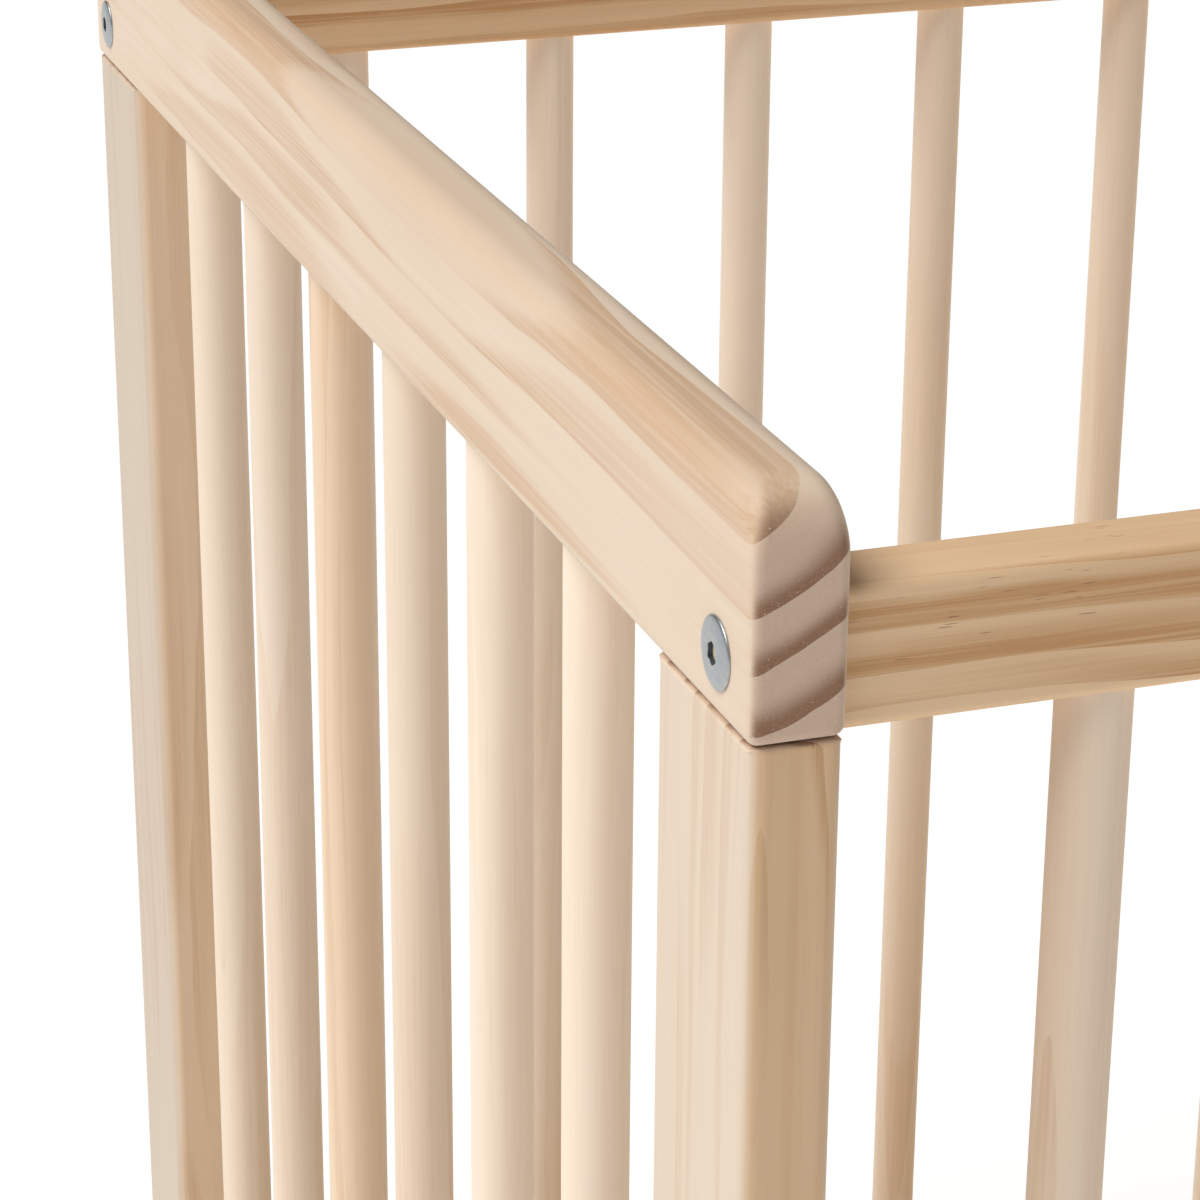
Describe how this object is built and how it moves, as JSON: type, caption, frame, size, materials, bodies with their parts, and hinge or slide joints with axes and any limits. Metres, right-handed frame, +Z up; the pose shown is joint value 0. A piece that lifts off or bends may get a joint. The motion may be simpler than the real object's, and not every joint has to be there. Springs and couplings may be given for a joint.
{
  "type": "playpen",
  "caption": "Square bolt-together pine playpen: deep rounded side rails on flat posts, slimmer front and back rails, round spindles and a lift-out base board.",
  "frame": {"origin": "on the floor, under the middle of the playpen", "axes": "+X to the right along the front panel, +Y to the back along the side panels, +Z up"},
  "size_m": [0.6676, 0.665, 0.74],
  "materials": {
    "pine_side": "sanded, unfinished",
    "pine_rail": "sanded, unfinished",
    "pine_spindle": "turned, unfinished",
    "plywood": "sanded, unfinished",
    "zinc_plated_steel": "bright zinc plating"
  },
  "bodies": {
    "frame": {"left_top_rail": "pine_side", "left_front_post": "pine_side", "left_back_post": "pine_side", "left_bottom_rail": "pine_rail", "left_spindle_1": "pine_spindle", "left_spindle_2": "pine_spindle", "left_spindle_3": "pine_spindle", "left_spindle_4": "pine_spindle", "left_spindle_5": "pine_spindle", "left_spindle_6": "pine_spindle", "right_top_rail": "pine_side", "right_front_post": "pine_side", "right_back_post": "pine_side", "right_bottom_rail": "pine_rail", "right_spindle_1": "pine_spindle", "right_spindle_2": "pine_spindle", "right_spindle_3": "pine_spindle", "right_spindle_4": "pine_spindle", "right_spindle_5": "pine_spindle", "right_spindle_6": "pine_spindle", "front_top_rail": "pine_rail", "front_bottom_rail": "pine_rail", "front_spindle_1": "pine_spindle", "front_spindle_2": "pine_spindle", "front_spindle_3": "pine_spindle", "front_spindle_4": "pine_spindle", "front_spindle_5": "pine_spindle", "front_spindle_6": "pine_spindle", "front_spindle_7": "pine_spindle", "back_top_rail": "pine_rail", "back_bottom_rail": "pine_rail", "back_spindle_1": "pine_spindle", "back_spindle_2": "pine_spindle", "back_spindle_3": "pine_spindle", "back_spindle_4": "pine_spindle", "back_spindle_5": "pine_spindle", "back_spindle_6": "pine_spindle", "back_spindle_7": "pine_spindle", "left_front_upper_bolt": "zinc_plated_steel", "left_front_lower_bolt": "zinc_plated_steel", "left_back_upper_bolt": "zinc_plated_steel", "left_back_lower_bolt": "zinc_plated_steel", "right_front_upper_bolt": "zinc_plated_steel", "right_front_lower_bolt": "zinc_plated_steel", "right_back_upper_bolt": "zinc_plated_steel", "right_back_lower_bolt": "zinc_plated_steel", "front_left_upper_nut": "zinc_plated_steel", "front_left_lower_nut": "zinc_plated_steel", "front_right_upper_nut": "zinc_plated_steel", "front_right_lower_nut": "zinc_plated_steel", "back_left_upper_nut": "zinc_plated_steel", "back_left_lower_nut": "zinc_plated_steel", "back_right_upper_nut": "zinc_plated_steel", "back_right_lower_nut": "zinc_plated_steel", "left_batten": "pine_rail", "right_batten": "pine_rail"},
    "base": {"base_board": "plywood"}
  },
  "joints": [
    {"name": "base_lift", "type": "slide", "parent": "frame", "child": "base", "axis": [0, 0, 1], "range_m": [0, 0.72]}
  ]
}
